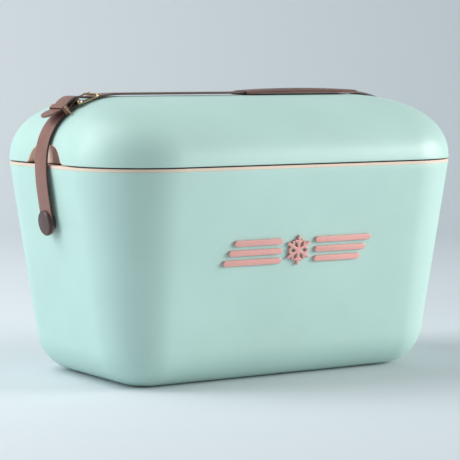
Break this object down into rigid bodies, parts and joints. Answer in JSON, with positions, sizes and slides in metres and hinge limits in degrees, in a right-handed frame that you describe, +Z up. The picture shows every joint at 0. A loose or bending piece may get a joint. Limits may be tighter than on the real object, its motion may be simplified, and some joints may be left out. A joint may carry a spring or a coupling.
{
  "type": "portable cooler box",
  "caption": "Retro portable cooler box with tapered foam-filled chest, lift-off domed lid, recessed end grips and a buckled leather carry strap with a sliding pad.",
  "frame": {"origin": "middle of the flat base, on the surface the box stands on", "axes": "+Z up, +X along the length towards the end without the buckle, -Y towards the badge"},
  "size_m": [0.4588, 0.284, 0.2984],
  "materials": {
    "mint_shell": "satin",
    "mint_lid": "satin",
    "rose_liner": "satin",
    "rose_tray": "satin",
    "rose_grip": "satin",
    "badge_pink": "semi-gloss",
    "foam_core": "rigid closed-cell foam",
    "seal_rubber": "matte",
    "stud_brown": "satin",
    "stud_steel": "plain",
    "strap_leather": "smooth grain",
    "pad_leather": "smooth grain",
    "buckle_brass": "polished"
  },
  "bodies": {
    "chest": {"outer_shell": "mint_shell", "inner_liner": "rose_liner", "body_foam": "foam_core", "front_badge": "badge_pink", "stud_nuts": "stud_steel", "stud_posts": "stud_steel", "stud_spacers": "stud_brown", "stud_caps": "stud_brown", "strap_left_anchor": "strap_leather", "strap_right_anchor": "strap_leather"},
    "lid": {"lid_outer": "mint_lid", "lid_inner": "rose_tray", "lid_foam": "foam_core", "lid_seal": "seal_rubber", "grip_cup_left": "rose_grip", "grip_cup_right": "rose_grip"},
    "strap_left_low": {"strap_left_lower": "strap_leather"},
    "strap_left_high": {"strap_left_upper": "strap_leather", "buckle_frame": "buckle_brass", "fold_rivet": "buckle_brass", "keeper_loop": "strap_leather", "keeper_wires": "buckle_brass"},
    "prong": {"buckle_prong": "buckle_brass"},
    "strap_right_low": {"strap_right_lower": "strap_leather"},
    "strap_right_high": {"strap_right_top": "strap_leather", "strap_tip": "strap_leather"},
    "shoulder_pad": {"pad_cover": "pad_leather", "pad_back": "pad_leather"}
  },
  "joints": [
    {"name": "lid_lift", "type": "slide", "parent": "chest", "child": "lid", "axis": [0, 0, 1], "range_m": [0, 0.15], "deforming": ["strap_tip"]},
    {"name": "strap_left_fold", "type": "hinge", "parent": "chest", "child": "strap_left_low", "pos_m": [-0.22511, 0, 0.18084], "axis": [0, -1, 0], "range_deg": [0, 125.5]},
    {"name": "strap_left_bend", "type": "hinge", "parent": "strap_left_low", "child": "strap_left_high", "pos_m": [-0.22181, 0, 0.25736], "axis": [0, -1, 0], "range_deg": [0, 65.5]},
    {"name": "buckle_prong_turn", "type": "hinge", "parent": "strap_left_high", "child": "prong", "pos_m": [-0.19318, 0, 0.28612], "axis": [0, -1, 0], "range_deg": [0, 60]},
    {"name": "strap_right_fold", "type": "hinge", "parent": "chest", "child": "strap_right_low", "pos_m": [0.22511, 0, 0.18084], "axis": [0, 1, 0], "range_deg": [0, 109.5]},
    {"name": "strap_right_bend", "type": "hinge", "parent": "strap_right_low", "child": "strap_right_high", "pos_m": [0.22181, 0, 0.25736], "axis": [0, 1, 0], "range_deg": [0, 83.5]},
    {"name": "pad_slide", "type": "slide", "parent": "strap_right_high", "child": "shoulder_pad", "axis": [1, 0, 0], "range_m": [-0.1, 0]}
  ],
  "couplings": [
    {"joint": "strap_left_fold", "follows": "lid_lift", "rad_per_m": 14.544},
    {"joint": "strap_left_bend", "follows": "lid_lift", "rad_per_m": 7.5631},
    {"joint": "strap_right_fold", "follows": "lid_lift", "rad_per_m": 12.683},
    {"joint": "strap_right_bend", "follows": "lid_lift", "rad_per_m": 9.6575}
  ]
}
